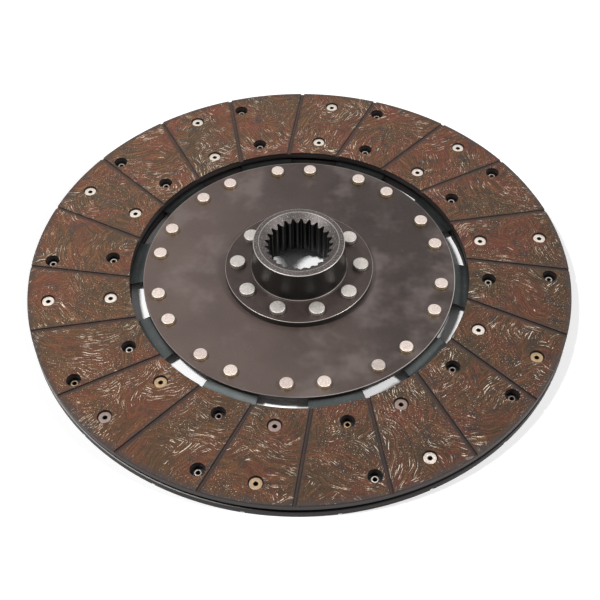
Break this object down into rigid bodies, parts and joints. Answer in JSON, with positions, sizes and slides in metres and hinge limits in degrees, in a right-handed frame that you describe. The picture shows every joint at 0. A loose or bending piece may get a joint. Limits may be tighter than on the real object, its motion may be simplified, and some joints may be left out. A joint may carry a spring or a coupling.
{
  "type": "clutch disc",
  "caption": "Rigid-centre clutch disc: splined hub riveted to a steel plate, with sprung cushion segments carrying two grooved, riveted friction facings.",
  "frame": {"origin": "centre of the rear friction face, on the hub's axis", "axes": "+Z along the hub's axis, from the rear friction face towards the hub's nose; +X along the slit between the last and the first cushion segment"},
  "size_m": [0.35, 0.35, 0.0384],
  "materials": {
    "hub_steel": "dark phosphated forged steel, machined bright on the nose and edges",
    "plate_steel": "dark oiled steel, satin",
    "spring_steel": "blue-grey tempered spring sheet",
    "friction_lining": "moulded woven lining, matt, reddish brown with brass strands",
    "rivet_steel": "bright plated steel",
    "tubular_rivet_steel": "bright plated steel tube"
  },
  "bodies": {
    "root": {"hub": "hub_steel", "drive_plate": "plate_steel", "front_facing": "friction_lining", "rear_facing": "friction_lining", "hub_rivets": "rivet_steel", "segment_rivets": "rivet_steel", "front_facing_rivets_outer": "tubular_rivet_steel", "front_facing_rivets_inner": "tubular_rivet_steel", "rear_facing_rivets_outer": "tubular_rivet_steel", "rear_facing_rivets_inner": "tubular_rivet_steel", "cushion_segment_01": "spring_steel", "cushion_segment_02": "spring_steel", "cushion_segment_03": "spring_steel", "cushion_segment_04": "spring_steel", "cushion_segment_05": "spring_steel", "cushion_segment_06": "spring_steel", "cushion_segment_07": "spring_steel", "cushion_segment_08": "spring_steel", "cushion_segment_09": "spring_steel", "cushion_segment_10": "spring_steel"}
  },
  "joints": []
}
